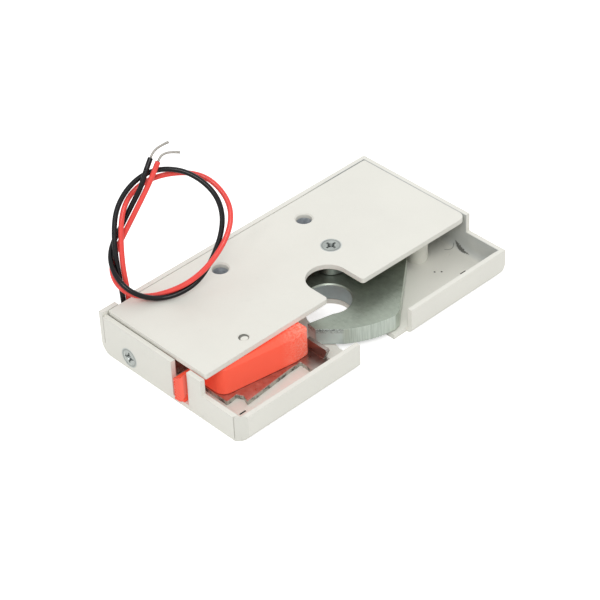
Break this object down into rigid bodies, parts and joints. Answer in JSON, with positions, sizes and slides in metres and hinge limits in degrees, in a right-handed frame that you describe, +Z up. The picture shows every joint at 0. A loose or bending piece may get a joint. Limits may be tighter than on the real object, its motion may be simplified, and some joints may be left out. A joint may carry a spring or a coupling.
{
  "type": "electromechanical hook lock",
  "caption": "Solenoid lock in a folded steel tray: a rotary hook closes round a striker, a pawl blocks it, and a side tab releases it by hand.",
  "frame": {"origin": "centre of the tray's footprint, on its underside, which is the face that bolts down", "axes": "+X along the long side, away from the release tab; +Y from the striker's side towards the wire side; +Z up, away from the mounting face, towards the cover"},
  "size_m": [0.1206, 0.0789, 0.059],
  "materials": {
    "housing": "satin painted sheet steel",
    "cover": "satin painted sheet steel",
    "hook_steel": "sintered or cut steel, zinc plated, brushed",
    "zinc_steel": "turned steel, zinc plated",
    "screw_steel": "zinc plated, blue passivated",
    "bracket_steel": "pressed steel, zinc plated",
    "spring_steel": "drawn spring wire",
    "frame_steel": "pressed steel, zinc plated",
    "nylon_white": "moulded",
    "copper_coil": "enamelled winding",
    "orange_plastic": "moulded, satin",
    "black_pvc": "extruded insulation, glossy",
    "red_pvc": "extruded insulation, glossy",
    "tinned_copper": "tinned stranded copper"
  },
  "bodies": {
    "housing": {"housing_tray": "housing", "cover_plate": "cover", "hook_spring": "spring_steel", "hook_pivot_post": "zinc_steel", "hook_bush": "zinc_steel", "hook_washer": "zinc_steel", "cover_screw": "screw_steel", "end_wall_screw": "screw_steel", "stop_post": "zinc_steel", "mounting_spacer_left": "zinc_steel", "mounting_spacer_right": "zinc_steel", "solenoid_frame": "frame_steel", "solenoid_bobbin": "nylon_white", "solenoid_coil": "copper_coil", "solenoid_core": "zinc_steel", "return_spring": "spring_steel", "pawl_pivot_pin": "zinc_steel", "lever_pivot_pin": "zinc_steel", "lever_bracket": "bracket_steel", "spring_anchor_post": "zinc_steel", "black_wire": "black_pvc", "red_wire": "red_pvc", "black_conductor": "tinned_copper", "red_conductor": "tinned_copper"},
    "hook": {"hook": "hook_steel", "hook_spring_pin": "zinc_steel"},
    "plunger": {"plunger": "zinc_steel", "plunger_link": "zinc_steel", "plunger_link_pin": "zinc_steel"},
    "pawl": {"pawl": "hook_steel", "lever_link_pin": "zinc_steel"},
    "lever": {"release_lever": "orange_plastic"}
  },
  "joints": [
    {"name": "hook_pivot", "type": "hinge", "parent": "housing", "child": "hook", "pos_m": [0.0156, 0.0042, 0.0051], "axis": [0, 0, 1], "range_deg": [0, 52.5], "deforming": ["hook_spring"]},
    {"name": "plunger_slide", "type": "slide", "parent": "housing", "child": "plunger", "axis": [1, 0, 0], "range_m": [0, 0.00259], "stiffness_N_per_m": 250, "springref_m": -0.004, "deforming": ["return_spring"]},
    {"name": "pawl_pivot", "type": "hinge", "parent": "housing", "child": "pawl", "pos_m": [-0.012, 0.002, 0.0059], "axis": [0, 0, 1], "range_deg": [-13.55, 0]},
    {"name": "lever_pivot", "type": "hinge", "parent": "housing", "child": "lever", "pos_m": [-0.0368, -0.0101, 0.009], "axis": [0, 0, 1], "range_deg": [0, 3.65]}
  ],
  "couplings": [
    {"joint": "pawl_pivot", "follows": "plunger_slide", "rad_per_m": -91.121},
    {"joint": "lever_pivot", "follows": "plunger_slide", "rad_per_m": 24.299}
  ]
}
